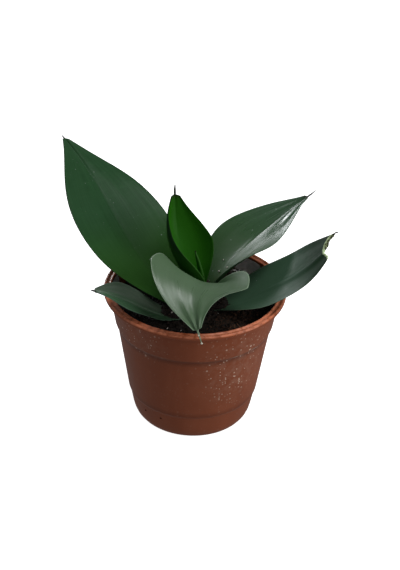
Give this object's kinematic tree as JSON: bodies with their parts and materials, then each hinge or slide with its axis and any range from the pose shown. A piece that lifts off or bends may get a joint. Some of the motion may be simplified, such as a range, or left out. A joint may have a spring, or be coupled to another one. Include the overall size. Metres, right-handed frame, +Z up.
{
  "type": "potted snake plant",
  "caption": "Dwarf snake plant, a loose rosette of broad dark green leaves, in a round brown nursery pot with a rolled lip, a raised band and a stepped foot.",
  "frame": {"origin": "centre of the pot's underside", "axes": "+Z up through the pot's mouth, -Y towards the arching front leaf, +X to the right seen from the front"},
  "size_m": [0.1863, 0.1593, 0.1597],
  "materials": {
    "pot": "satin",
    "soil": "rough and granular",
    "leaf": "waxy satin",
    "young_leaf": "waxy satin",
    "rhizome": "matte"
  },
  "bodies": {
    "root": {"pot": "pot", "soil": "soil", "rhizome": "rhizome", "leaf_left_tall": "leaf", "leaf_centre_young": "young_leaf", "leaf_centre_spear": "young_leaf", "leaf_right_back": "leaf", "leaf_right_front": "leaf", "leaf_front": "leaf", "leaf_left_low": "leaf"}
  },
  "joints": []
}
